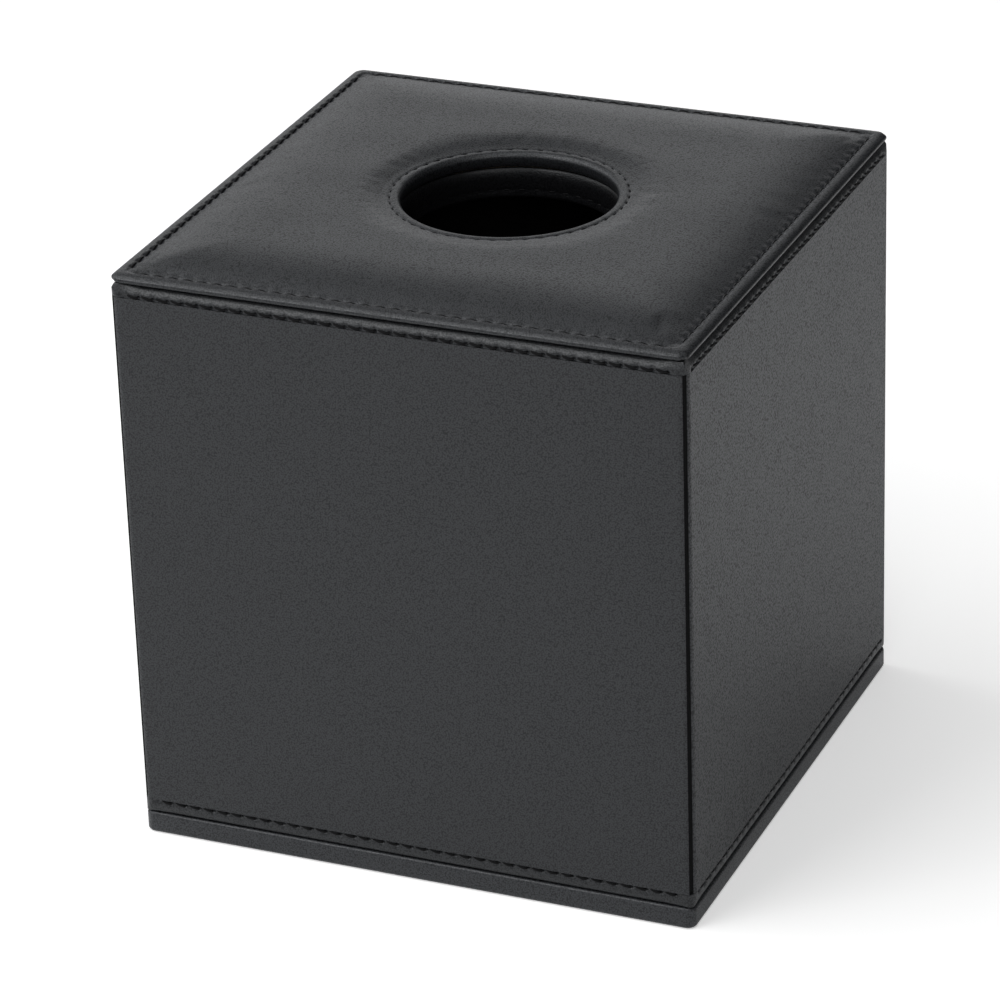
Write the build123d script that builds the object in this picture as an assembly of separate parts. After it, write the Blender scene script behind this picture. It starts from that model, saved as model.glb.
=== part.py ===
from build123d import *
import math
import os

# Leather tissue box cover: four fibreboard walls covered in leather, a padded leather top with a
# round opening, and a base plate that swings down on a leather hinge strip so a box can go in.
# Millimetres, +Z up. The origin is the centre of the base plate's underside. The front wall faces -Y.

# Overall sizes
width = 130.0
depth = 130.0
wall_height = 126.8
corner_radius = 2.2

# Sheet and board thicknesses
leather_t = 1.0
cushion_leather_t = 0.9
board_t = 3.0
base_board_t = 3.0
top_board_t = 6.0
lining_t = 0.6
turn_in = 12.0
base_turn_in = 12.0

# Clearances
seam_gap = 0.3
fit = 0.1
foam_clearance = 0.12

# Hems, grooves and thread
upper_hem = 2.4
lower_hem = 2.7
hem_bevel = 0.7
groove_width = 0.9
thread_width = 0.6
thread_t = 0.35
stitch_length = 2.5
stitch_pitch = 3.4
row_end_margin = 4.0
panel_seam_width = 1.1
panel_seam_depth = 0.5
seam_shoulder = 0.18

# Padded top
welt_stitch_inset = 2.9
cushion_rise = 2.1
cushion_slope = 20.0
cushion_bands = 5
cushion_softness = 1.6
pad_toe_drop = 0.2
cushion_margin = 8.0
foam_setback = 3.0
foam_bevel = 14.0
pad_rounding = 3.0
lip_steps = 3
welt_bevel = 0.55

# Opening
opening_radius = 23.6
lip_height = 2.8
lip_stitch_reach = 2.5
opening_dip = 1.3
opening_slope = 11.0
collar_radius = 23.7
collar_t = 1.1
collar_bevel = 0.7
collar_drop = 0.9
lip_margin = 10.9

# Base plate, its hinge and its magnets
base_bevel = 0.6
hinge_end_margin = 2.6
magnet_length = 20.0
magnet_depth = 2.0
magnet_height = 4.0
base_magnet_height = 2.0
magnet_spacing = 65.0

# Heights worked out from the sizes above
board_bottom = leather_t
board_top = board_bottom + base_board_t
base_top = board_top + leather_t
wall_bottom = base_top + seam_gap
wall_top = wall_bottom + wall_height
upper_stitch_z = wall_top - upper_hem
lower_stitch_z = wall_bottom + lower_hem
cushion_bottom = wall_top + seam_gap
welt_top = cushion_bottom + 2 * cushion_leather_t
pad_floor = cushion_bottom + cushion_leather_t
pad_toe = welt_top - pad_toe_drop
crown = welt_top + cushion_rise
welt_groove_z = welt_top - thread_t
ceiling = wall_top - top_board_t
dip_floor = crown - opening_dip
lip_stitch_radius = opening_radius + lip_stitch_reach
collar_bottom = ceiling - collar_drop

# Distances inwards from the outer face of a wall
board_inset = leather_t
turn_in_inset = board_inset + board_t
lining_inset = turn_in_inset + leather_t

# Each wall: name, turn about Z, distance of its outer face from the centre, length
SIDES = [
    ("front", 0, depth / 2, width),
    ("right", 90, width / 2, depth),
    ("back", 180, depth / 2, width),
    ("left", 270, width / 2, depth),
]


def outline(inset, z, radius=0.0):
    """Outline of the footprint at one height, its sides moved in by inset."""
    across = width - 2 * inset
    along = depth - 2 * inset
    shape = RectangleRounded(across, along, radius) if radius > 0 else Rectangle(across, along)
    return Pos(0, 0, z) * shape


def block(inset, low, high, radius=0.0):
    """Upright block over the footprint, its sides moved in by inset, between two heights."""
    return extrude(outline(inset, low, radius), amount=high - low)


def box_between(low, high):
    """Plain box from its lowest corner to its highest."""
    size = [b - a for a, b in zip(low, high)]
    middle = [(a + b) / 2 for a, b in zip(low, high)]
    return Pos(*middle) * Box(*size)


def turned(profile):
    """Ring turned about Z from a face drawn as radius against height."""
    return revolve(Plane.XZ * profile, Axis.Z)


def disc(radius, low, high):
    """Plain upright cylinder about the opening's axis, between two heights."""
    return Pos(0, 0, low) * extrude(Circle(radius), amount=high - low)


def ring(inner, outer, low, high):
    """Plain ring between two radii and two heights."""
    return disc(outer, low, high) - disc(inner, low, high)


def edges_at(shape, height):
    """Edges of a shape that lie wholly at one height."""
    return [e for e in shape.edges() if abs(e.bounding_box().min.Z - height) < 1e-4
            and abs(e.bounding_box().max.Z - height) < 1e-4]


def rim_edges(shape, height):
    """Edges at one height that lie on the outer faces of the walls or on their corners."""
    found = []
    for edge in edges_at(shape, height):
        box = edge.bounding_box()
        gap_x = width / 2 - max(-box.min.X, box.max.X)
        gap_y = depth / 2 - max(-box.min.Y, box.max.Y)
        if min(gap_x, gap_y) < 1e-3:
            found.append(edge)
    return found


def wall_groove(z):
    """Channel that a row of stitches presses round all four walls."""
    outer = block(-1.0, z - groove_width / 2, z + groove_width / 2, corner_radius + 1.0)
    return outer - block(thread_t, z - groove_width / 2, z + groove_width / 2, corner_radius - thread_t)


# Walls


def wall_leather(reach, length):
    """Leather panel of one wall, its ends rounded in to the seam at each corner."""
    centre_x = length / 2 - corner_radius
    centre_y = reach - corner_radius
    seam_turn = math.degrees(panel_seam_width / 2 / corner_radius)
    low = lower_stitch_z + groove_width / 2
    high = upper_stitch_z - groove_width / 2
    halves = []
    for side in (1, -1):

        def polar(radius, degrees):
            """Point about the corner's centre, degrees counted from the outward direction."""
            a = math.radians(degrees)
            return (side * (centre_x + radius * math.sin(a)), -(centre_y + radius * math.cos(a)))

        bend = polar(corner_radius, 0)
        edge = polar(corner_radius, 45 - seam_turn)
        seam_middle = polar(corner_radius - seam_shoulder, 45 - seam_turn / 2)
        seam_end = polar(corner_radius - panel_seam_depth, 45)
        board_corner = (side * (length / 2 - leather_t), -(reach - leather_t))
        profile = Line((0, -reach), bend)
        profile += ThreePointArc(bend, polar(corner_radius, (45 - seam_turn) / 2), edge)
        profile += ThreePointArc(edge, seam_middle, seam_end)
        profile += Polyline(seam_end, board_corner, (0, -(reach - leather_t)), (0, -reach))
        halves.append(make_face(profile))
    plan = halves[0] + halves[1]
    return Pos(0, 0, low) * extrude(plan, amount=high - low)


def wall_board(reach, length, full_length):
    """Fibreboard of one wall. The front and back boards run the full length past the side boards."""
    inset = leather_t if full_length else leather_t + board_t
    low = (-(length / 2 - inset), -(reach - board_inset), wall_bottom + leather_t)
    high = (length / 2 - inset, -(reach - turn_in_inset), wall_top - leather_t)
    return box_between(low, high)


def magnet_places():
    """Centres across the width of the two closing magnets."""
    return [-magnet_spacing / 2, magnet_spacing / 2]


def magnet_bars(low, height, margin=0.0):
    """The two magnet bars over the front board, or their pockets when a margin is given."""
    middle = -(depth / 2 - board_inset - board_t / 2)
    bars = []
    for x in magnet_places():
        bars.append(box_between((x - magnet_length / 2 - margin, middle - magnet_depth / 2 - margin, low),
                                (x + magnet_length / 2 + margin, middle + magnet_depth / 2 + margin,
                                 low + height + margin)))
    return bars


def hinge_recess(low, high, margin=0.0):
    """Space of the hinge strip in the outer leather of the back, between two heights."""
    half = width / 2 - hinge_end_margin + margin
    return box_between((-half, depth / 2 - leather_t, low), (half, depth / 2 + margin, high))


def binding(edge_z, stitch_z):
    """Leather binding folded over the walls' ends, from its stitch row to its turned-in margin."""
    up = 1 if edge_z > stitch_z else -1

    def span(a, b):
        """Two heights in rising order."""
        return min(a, b), max(a, b)

    inner_edge = edge_z - up * leather_t
    outer_leg = block(0, *span(stitch_z - up * groove_width / 2, edge_z), corner_radius)
    outer_leg -= block(board_inset, *span(stitch_z - up * groove_width, inner_edge))
    inner_leg = block(turn_in_inset, *span(edge_z - up * turn_in, inner_edge))
    tape = outer_leg + inner_leg - block(lining_inset, *span(edge_z - up * 2 * turn_in, edge_z + up))
    tape -= wall_groove(stitch_z)
    return chamfer(rim_edges(tape, edge_z), hem_bevel)


def wall_lining():
    """Velvet lining strip glued round the inside, stepped over the turned-in leather."""
    low = wall_bottom + leather_t
    high = ceiling - lining_t - fit
    strip = block(lining_inset, low, high)
    strip += block(turn_in_inset, wall_bottom + turn_in + fit, wall_top - turn_in - fit)
    return strip - block(lining_inset + lining_t, low - 1, high + 1)


# Padded top


def padded_block():
    """Solid under the padded surface, a soft S from the welt's stitches up to the crown."""
    start = welt_stitch_inset + groove_width / 2
    faces = []
    for i in range(cushion_bands + 1):
        share = i / cushion_bands
        lift = math.sin(share * math.pi / 2) ** cushion_softness
        inset = start + share * cushion_slope
        z = pad_toe + (crown - pad_toe) * lift
        faces.append(outline(inset, z, corner_radius + pad_rounding * share))
    pad = loft(faces, ruled=True)
    return pad + block(start, pad_floor, pad_toe, corner_radius)


def dip_cut():
    """Space above the padded surface where it falls to the opening's stitch ring, and the ring's seat."""
    start = lip_stitch_radius + groove_width / 2
    top = crown + cushion_rise
    slope_end = start + opening_slope
    points = [(0, dip_floor), (start, dip_floor), (slope_end, crown), (slope_end, top), (0, top)]
    return turned(make_face(Polyline(points, close=True)))


def lip_cut():
    """Space inside the opening's rounded lip, from the stitch ring over the roll and down."""
    roll = lip_height / 2
    centre_r = opening_radius + roll
    centre_z = cushion_bottom + roll
    points = [(lip_stitch_radius - groove_width / 2, dip_floor)]
    for i in range(lip_steps + 1):
        a = math.pi * (0.5 - i / lip_steps)
        points.append((centre_r - roll * math.cos(a), centre_z + roll * math.sin(a)))
    points += [(centre_r, cushion_bottom - 1), (0, cushion_bottom - 1), (0, crown), (points[0][0], crown)]
    return turned(make_face(Polyline(points, close=True)))


def hipped_slab(inset, low, high, bevel):
    """Slab over the footprint whose four sides slope in by bevel on their way up."""
    slopes = []
    for size, turn in ((width, 0), (depth, 90)):
        half = size / 2 - inset
        section = Polyline((-half, low), (half, low), (half - bevel, high), (bevel - half, high), close=True)
        slopes.append(Rot(0, 0, turn) * extrude(Plane.XZ * make_face(section), amount=width + depth, both=True))
    return slopes[0] & slopes[1]


def foam_space(gap=0.0):
    """Space between the cushion's leather and the top board, bevelled towards the welt's stitches."""
    inset = welt_stitch_inset + groove_width / 2 + foam_setback + gap
    space = hipped_slab(inset, pad_floor, crown - cushion_leather_t - gap, foam_bevel)
    space += block(cushion_margin + gap, wall_top, pad_floor)
    return space - disc(opening_radius + lip_margin + gap, wall_top - 1, crown)


def cushion_leather():
    """Leather of the padded top: welted edge, padded field, opening lip and turned-in margins."""
    welt = block(0, cushion_bottom, welt_top, corner_radius)
    welt = chamfer(rim_edges(welt, welt_top) + rim_edges(welt, cushion_bottom), welt_bevel)
    body = welt + padded_block() - dip_cut()
    groove = block(welt_stitch_inset - groove_width / 2, welt_groove_z, crown)
    body -= groove - block(welt_stitch_inset + groove_width / 2, welt_groove_z, crown)
    return body - lip_cut() - foam_space()


def collar():
    """Leather collar lining the edge of the top board's hole."""
    sleeve = ring(collar_radius, collar_radius + collar_t, collar_bottom, wall_top)
    bore = [e for e in edges_at(sleeve, wall_top) if e.radius < collar_radius + collar_t / 2]
    return chamfer(bore, collar_bevel)


def top_board():
    """Board that closes the walls at the top, with a hole for the collar."""
    board = block(lining_inset + fit, ceiling, wall_top)
    return board - disc(collar_radius + collar_t + fit, ceiling, wall_top)


def top_lining():
    """Velvet lining under the top board, up to the collar."""
    sheet = block(lining_inset + fit, ceiling - lining_t, ceiling)
    return sheet - disc(collar_radius + collar_t + fit, ceiling - lining_t, ceiling)


# Base plate


def base_leather():
    """Leather wrapped round the base board, its margins turned in over the top."""
    wrap = block(0, 0, base_top, corner_radius)
    wrap = chamfer(rim_edges(wrap, 0) + rim_edges(wrap, base_top), base_bevel)
    wrap -= block(leather_t, board_bottom, board_top)
    wrap -= block(leather_t + base_turn_in, board_top, base_top)
    return wrap - hinge_recess(board_bottom, base_top, fit)


def base_board():
    """Board inside the base plate, with pockets for its magnets."""
    board = block(leather_t, board_bottom, board_top)
    for pocket in magnet_bars(board_top - base_magnet_height - fit, base_magnet_height + fit, fit):
        board -= pocket
    return board


def base_lining():
    """Velvet lining of the base plate inside the turned-in margins."""
    return block(leather_t + base_turn_in + fit, board_top, base_top)


def hinge_strip():
    """Leather strip down the back from the walls' stitch row to the base plate."""
    strip = hinge_recess(board_bottom + fit, lower_stitch_z + groove_width / 2)
    return strip - wall_groove(lower_stitch_z)


# Thread


def stitch():
    """One stitch along X: a ridged bar, flat side at Z = 0 and ridge upwards."""
    section = Polyline((-thread_width / 2, 0), (thread_width / 2, 0), (0, thread_t), close=True)
    return extrude(Plane.YZ * make_face(section), amount=stitch_length / 2, both=True)


def stitch_centres(length):
    """Evenly spaced centres of the stitches along one side."""
    usable = length - 2 * row_end_margin
    count = int(usable // stitch_pitch) + 1
    return [(i - (count - 1) / 2) * stitch_pitch for i in range(count)]


def wall_row(z):
    """Stitches lying in the groove round the walls at one height."""
    stitches = []
    for _, turn, reach, length in SIDES:
        for x in stitch_centres(length):
            stitches.append(Rot(0, 0, turn) * Pos(x, -(reach - thread_t), z) * Rot(90, 0, 0) * stitch())
    return stitches


def welt_row():
    """Stitches lying in the groove behind the welt of the padded top."""
    stitches = []
    for _, turn, reach, length in SIDES:
        for x in stitch_centres(length - 2 * welt_stitch_inset):
            stitches.append(Rot(0, 0, turn) * Pos(x, -(reach - welt_stitch_inset), welt_groove_z) * stitch())
    return stitches


def lip_row():
    """Stitches in the ring round the opening, lying in the valley beside the lip."""
    count = int(2 * math.pi * lip_stitch_radius // stitch_pitch)
    sag = lip_stitch_radius - math.sqrt(lip_stitch_radius ** 2 - (stitch_length / 2) ** 2)
    place = Pos(0, -(lip_stitch_radius - sag / 2), dip_floor) * stitch()
    return [Rot(0, 0, i * 360 / count) * place for i in range(count)]


# Every piece by its node's name
pieces = {
    "cushion_leather": cushion_leather(),
    "cushion_foam": foam_space(foam_clearance),
    "opening_collar": collar(),
    "top_board": top_board(),
    "top_lining": top_lining(),
    "upper_binding": binding(wall_top, upper_stitch_z),
    "lower_binding": binding(wall_bottom, lower_stitch_z)
    - hinge_recess(wall_bottom - 1, lower_stitch_z + groove_width, fit),
    "wall_lining": wall_lining(),
    "wall_magnets": Compound(magnet_bars(wall_bottom + leather_t, magnet_height)),
    "base_leather": base_leather(),
    "base_board": base_board(),
    "base_lining": base_lining(),
    "base_magnets": Compound(magnet_bars(board_top - base_magnet_height, base_magnet_height)),
    "hinge_strip": hinge_strip(),
    "welt_thread": Compound(welt_row()),
    "upper_thread": Compound(wall_row(upper_stitch_z)),
    "lower_thread": Compound(wall_row(lower_stitch_z)),
    "lip_thread": Compound(lip_row()),
}
for name, turn, reach, length in SIDES:
    across = name in ("front", "back")
    board = wall_board(reach, length, across)
    if name == "front":
        for pocket in magnet_bars(wall_bottom + leather_t, magnet_height, fit):
            board -= pocket
    pieces[name + "_board"] = Rot(0, 0, turn) * board
    pieces[name + "_leather"] = Rot(0, 0, turn) * wall_leather(reach, length)

os.makedirs("parts", exist_ok=True)
for name, piece in pieces.items():
    export_step(piece, f"parts/{name}.step")
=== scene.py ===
"""Looks of a square leather tissue box cover with a padded top, built round its fixed frame."""

import logging
import math
from dataclasses import dataclass, field
from enum import Enum
from typing import Any, Iterable, Optional, Sequence

import bpy
import numpy as np
from mathutils import Matrix, Vector


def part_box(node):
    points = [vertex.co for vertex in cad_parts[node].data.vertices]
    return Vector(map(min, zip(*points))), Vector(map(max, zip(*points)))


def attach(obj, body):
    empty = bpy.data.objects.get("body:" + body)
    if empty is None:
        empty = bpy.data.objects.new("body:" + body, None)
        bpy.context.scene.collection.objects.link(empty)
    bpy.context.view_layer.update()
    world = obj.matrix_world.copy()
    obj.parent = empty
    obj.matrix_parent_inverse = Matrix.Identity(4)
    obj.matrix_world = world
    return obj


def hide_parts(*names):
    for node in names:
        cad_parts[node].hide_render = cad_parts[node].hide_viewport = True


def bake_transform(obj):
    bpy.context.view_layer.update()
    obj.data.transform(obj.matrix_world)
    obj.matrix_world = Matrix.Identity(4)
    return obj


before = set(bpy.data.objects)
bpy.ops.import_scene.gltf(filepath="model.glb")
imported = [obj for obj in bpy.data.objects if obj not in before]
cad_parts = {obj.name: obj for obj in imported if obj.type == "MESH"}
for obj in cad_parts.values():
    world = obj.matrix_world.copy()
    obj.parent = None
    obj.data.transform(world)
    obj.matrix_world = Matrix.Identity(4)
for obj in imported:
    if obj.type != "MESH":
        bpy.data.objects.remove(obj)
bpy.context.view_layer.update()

MM = 0.001
COVER = "cover"
FLAP = "base_flap"
LOG = logging.getLogger("tissue_box_cover")
FINE_DETAIL = 4.0
PATH_STEPS = 6
PATH_SLACK = 0.0005
BAY_ROOM = Vector((0.1 * MM, 0.02 * MM, 0.0))
CUT_OVER = 1.0 * MM


class Side(Enum):
    """The four walls, each with the quarter turns that bring the front wall onto it."""

    FRONT = 0
    RIGHT = 1
    BACK = 2
    LEFT = 3

    def turn(self) -> Matrix:
        """Rotation about Z from the front wall to this one."""
        return Matrix.Rotation(self.value * math.pi / 2, 4, "Z")


class Sense(Enum):
    """Which way the ring of a round stitch row faces."""

    UP = 1
    INWARD = 2


@dataclass(frozen=True)
class Sizes:
    """Sizes that all sub-assemblies share, in metres, read from the frame where it has them."""

    half: float
    base_top: float
    wall_bottom: float
    wall_top: float
    pad_bottom: float
    crown: float
    corner_radius: float = 2.2 * MM
    leather: float = 1.0 * MM
    board: float = 3.0 * MM
    base_board: float = 3.0 * MM
    base_turn_in: float = 12.0 * MM
    turn_in: float = 12.0 * MM
    pad_leather: float = 0.9 * MM
    hem_upper: float = 2.4 * MM
    hem_lower: float = 2.7 * MM
    welt_inset: float = 2.9 * MM
    pitch: float = 3.4 * MM
    row_end: float = 4.0 * MM
    opening: float = 23.6 * MM
    ring: float = 26.1 * MM

    @classmethod
    def from_frame(cls) -> "Sizes":
        """Reads the overall sizes and heights from the frame's nodes.

        Returns:
            The shared sizes.
        """
        base_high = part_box("base_leather")[1]
        pad_low, pad_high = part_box("cushion_leather")
        return cls(half=base_high.x, base_top=base_high.z, wall_bottom=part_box("lower_binding")[0].z,
                   wall_top=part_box("upper_binding")[1].z, pad_bottom=pad_low.z, crown=pad_high.z)

    @property
    def upper_row(self) -> float:
        """Height of the stitch row under the walls' upper edge."""
        return self.wall_top - self.hem_upper

    @property
    def lower_row(self) -> float:
        """Height of the stitch row over the walls' lower edge."""
        return self.wall_bottom + self.hem_lower

    @property
    def welt_top(self) -> float:
        """Height of the flat top of the welt."""
        return self.pad_bottom + 2 * self.pad_leather


def smoothstep(x: np.ndarray) -> np.ndarray:
    """Eases from 0 to 1 over the unit range, flat outside it."""
    x = np.clip(x, 0.0, 1.0)
    return x * x * (3 - 2 * x)


@dataclass(frozen=True)
class Ripple:
    """Smooth seeded unevenness: a sum of waves with random directions and phases."""

    seed: int
    wavelength: float
    waves: int = 9

    def at(self, *coordinates: np.ndarray) -> np.ndarray:
        """Samples the unevenness.

        Args:
            coordinates: One array for each axis, in metres.

        Returns:
            Values of about -1 to 1.
        """
        draw = np.random.default_rng(self.seed)
        total = np.zeros_like(coordinates[0])
        for _ in range(self.waves):
            direction = draw.normal(size=len(coordinates))
            direction /= np.linalg.norm(direction)
            wave = self.wavelength * draw.uniform(0.6, 1.7)
            along = sum(c * d for c, d in zip(coordinates, direction))
            total += np.sin(2 * math.pi * along / wave + draw.uniform(0, 2 * math.pi))
        return total / math.sqrt(self.waves)


class PlanLoop:
    """Columns round the cover's footprint, from which outlines of any inset and radius are made."""

    def __init__(self, half: float, per_side: int, per_corner: int) -> None:
        """Spreads the columns.

        Args:
            half: Half the width of the footprint.
            per_side: Steps along each straight side.
            per_corner: Steps round each corner.
        """
        self.half = half
        anchors, normals, tangents = [], [], []
        for side in Side:
            turn = side.value * math.pi / 2
            outward = np.array([math.sin(turn), -math.cos(turn)])
            forward = np.array([math.cos(turn), math.sin(turn)])
            for i in range(per_side):
                anchors.append(outward + forward * (2 * i / per_side - 1))
                normals.append(outward)
                tangents.append(forward)
            for i in range(per_corner):
                a = turn + math.pi / 2 * i / per_corner
                anchors.append(outward + forward)
                normals.append(np.array([math.sin(a), -math.cos(a)]))
                tangents.append(forward)
        self.anchors = np.array(anchors)
        self.normals = np.array(normals)
        self.tangents = np.array(tangents)

    def points(self, inset: float, radius: float) -> np.ndarray:
        """Outline of the footprint.

        Args:
            inset: How far the sides are moved in.
            radius: Radius of the corners.

        Returns:
            One point in plan for each column.
        """
        return self.anchors * (self.half - inset - radius) + self.normals * radius

    def along(self, points: np.ndarray) -> np.ndarray:
        """Distance of each column's point from the middle of its side."""
        return np.sum(points * self.tangents, axis=1)


@dataclass(frozen=True)
class SeamPress:
    """How a row of stitches presses the leather it is sewn through."""

    pitch: float
    centres: int
    groove: float = 0.2 * MM
    hole: float = 0.5 * MM
    hole_width: float = 0.5 * MM
    groove_width: float = 0.42 * MM
    pucker: float = 0.05 * MM
    pucker_reach: float = 1.3 * MM
    hole_shift: float = 0.4
    hole_drop: float = 0.12 * MM
    lead: float = 1.2

    def sink(self, along: np.ndarray, across: np.ndarray) -> np.ndarray:
        """Depth pressed into the leather.

        Args:
            along: Distance along the row from its middle.
            across: Distance from the row's line.

        Returns:
            Depth, positive into the leather.
        """
        steps = along / self.pitch + (self.centres - 1) / 2
        inside = smoothstep(steps + self.lead) * smoothstep(self.centres - 1 + self.lead - steps)
        phase = steps - np.floor(steps + 0.5 - self.hole_shift)
        reach = (phase - self.hole_shift) * self.pitch
        line = self.groove * np.exp(-(across / self.groove_width) ** 2)
        dimple = self.hole * np.exp(-(reach / self.hole_width) ** 2
                                    - ((across + self.hole_drop) / self.hole_width) ** 2)
        puff = self.pucker * np.cos(2 * math.pi * (phase - self.hole_shift))
        puff = puff * np.exp(-np.abs(across) / self.pucker_reach) * (np.abs(across) > 0)
        return inside * (line + dimple + puff)


def stitch_count(length: float, sizes: Sizes) -> int:
    """Number of stitches that fit along one side of a row."""
    return int((length - 2 * sizes.row_end) // sizes.pitch) + 1


def mesh_object(name: str, points: np.ndarray, faces: Sequence[Sequence[int]],
                sharp_degrees: float = 50.0) -> bpy.types.Object:
    """Makes a smooth-shaded mesh object, with sharp edges where its faces meet steeply.

    Args:
        name: Name of the piece.
        points: Vertices.
        faces: Vertex numbers of each face.
        sharp_degrees: Angle between faces from which an edge is sharp.

    Returns:
        The linked object.
    """
    mesh = bpy.data.meshes.new(name)
    mesh.from_pydata([tuple(p) for p in points], [], [tuple(f) for f in faces])
    mesh.validate()
    mesh.shade_smooth()
    mesh.set_sharp_from_angle(angle=math.radians(sharp_degrees))
    thing = bpy.data.objects.new(name, mesh)
    bpy.context.scene.collection.objects.link(thing)
    return thing


@dataclass
class RingSkin:
    """Rows of vertices that go round the cover, joined row to row into a skin."""

    points: list = field(default_factory=list)
    rows: list = field(default_factory=list)
    faces: list = field(default_factory=list)

    def add_row(self, row: np.ndarray) -> None:
        """Adds a row of vertices and joins it to the row before, whole or with a quarter of the columns.

        Args:
            row: Vertices of the row, counted the same way round as the others.
        """
        start = sum(len(r) for r in self.points)
        indices = np.arange(start, start + len(row))
        self.points.append(row)
        if self.rows:
            self._join(self.rows[-1], indices)
        self.rows.append(indices)

    def _join(self, low: np.ndarray, high: np.ndarray) -> None:
        """Joins two rows, the second of which may have fewer or more columns by a whole factor."""
        if len(low) >= len(high):
            factor = len(low) // len(high)
            for j in range(len(high)):
                fine = [low[(j * factor + k) % len(low)] for k in range(factor + 1)]
                self.faces.append([*fine, high[(j + 1) % len(high)], high[j]])
        else:
            factor = len(high) // len(low)
            for j in range(len(low)):
                fine = [high[(j * factor + k) % len(high)] for k in range(factor + 1)]
                self.faces.append([low[j], low[(j + 1) % len(low)], *reversed(fine)])

    def close(self) -> None:
        """Joins the last row to the first, so that the skin is a closed tube."""
        self._join(self.rows[-1], self.rows[0])

    def cap(self) -> None:
        """Fills the first and the last row with a face each."""
        self.faces.append(list(reversed(self.rows[0])))
        self.faces.append(list(self.rows[-1]))

    def build(self, name: str, sharp_degrees: float = 50.0) -> bpy.types.Object:
        """Makes the object.

        Args:
            name: Name of the piece.
            sharp_degrees: Angle between faces from which an edge is sharp.

        Returns:
            The linked object.
        """
        return mesh_object(name, np.concatenate(self.points), self.faces, sharp_degrees)


def lifted(plan: np.ndarray, height: Any) -> np.ndarray:
    """Plan points raised to a height, one for all or one for each."""
    z = np.broadcast_to(np.asarray(height, float), (len(plan),))
    return np.column_stack([plan, z])


def arc(centre: tuple, radius: float, start: float, end: float, steps: int) -> list:
    """Points of an arc in a profile drawn as inset against height.

    Args:
        centre: Inset and height of the centre.
        radius: Radius of the arc.
        start: First angle in degrees, 0 towards larger insets and 90 upwards.
        end: Last angle in degrees.
        steps: Number of steps.

    Returns:
        Inset and height of each point.
    """
    points = []
    for i in range(steps + 1):
        a = math.radians(start + (end - start) * i / steps)
        points.append((centre[0] + radius * math.cos(a), centre[1] + radius * math.sin(a)))
    return points


def cut_box(thing: bpy.types.Object, low: Vector, high: Vector) -> None:
    """Cuts a box-shaped bay out of a closed mesh.

    Args:
        thing: The object to cut.
        low: Lowest corner of the bay.
        high: Highest corner of the bay.
    """
    corners = np.array([[x, y, z] for z in (low.z, high.z) for y in (low.y, high.y) for x in (low.x, high.x)])
    faces = [(0, 2, 3, 1), (4, 5, 7, 6), (0, 1, 5, 4), (2, 6, 7, 3), (0, 4, 6, 2), (1, 3, 7, 5)]
    cutter = mesh_object(thing.name + "_bay", corners, faces)
    modifier = thing.modifiers.new("bay", "BOOLEAN")
    modifier.operation = "DIFFERENCE"
    modifier.solver = "EXACT"
    modifier.object = cutter
    bake_modifiers(thing)
    bpy.data.objects.remove(cutter)


def cut_hinge_bay(thing: bpy.types.Object, half: float, bottom: float, top: float) -> None:
    """Cuts the bay of the hinge strip, with a little room round the strip.

    Args:
        thing: The object to cut.
        half: Half the width of the footprint.
        bottom: Height of the bay's lower end.
        top: Height of its upper end.
    """
    low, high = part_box("hinge_strip")
    near = Vector((low.x, low.y, bottom)) - BAY_ROOM
    far = Vector((high.x, half + CUT_OVER, top)) + BAY_ROOM
    cut_box(thing, near, far)


def bake_modifiers(thing: bpy.types.Object) -> None:
    """Turns an object's evaluated shape into its plain mesh and drops its modifiers."""
    evaluated = thing.evaluated_get(bpy.context.evaluated_depsgraph_get())
    mesh = bpy.data.meshes.new_from_object(evaluated)
    thing.modifiers.clear()
    thing.data = mesh


class Wire:
    """A node socket on which Python's arithmetic adds Math nodes."""

    def __init__(self, kit: "Shading", socket: Any) -> None:
        """Keeps the socket with the tree that it belongs to."""
        self.kit = kit
        self.socket = socket

    def _math(self, operation: str, *values: Any) -> "Wire":
        """Adds one Math node."""
        return self.kit.node("ShaderNodeMath", {"operation": operation}, dict(enumerate(values)))

    def __add__(self, other: Any) -> "Wire":
        """Sum."""
        return self._math("ADD", self, other)

    __radd__ = __add__

    def __sub__(self, other: Any) -> "Wire":
        """Difference."""
        return self._math("SUBTRACT", self, other)

    def __rsub__(self, other: Any) -> "Wire":
        """Difference from a number."""
        return self._math("SUBTRACT", other, self)

    def __mul__(self, other: Any) -> "Wire":
        """Product."""
        return self._math("MULTIPLY", self, other)

    __rmul__ = __mul__

    def __truediv__(self, other: Any) -> "Wire":
        """Quotient."""
        return self._math("DIVIDE", self, other)

    def clamped(self) -> "Wire":
        """The value held between 0 and 1."""
        return self.kit.node("ShaderNodeClamp", {}, {0: self})


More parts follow.
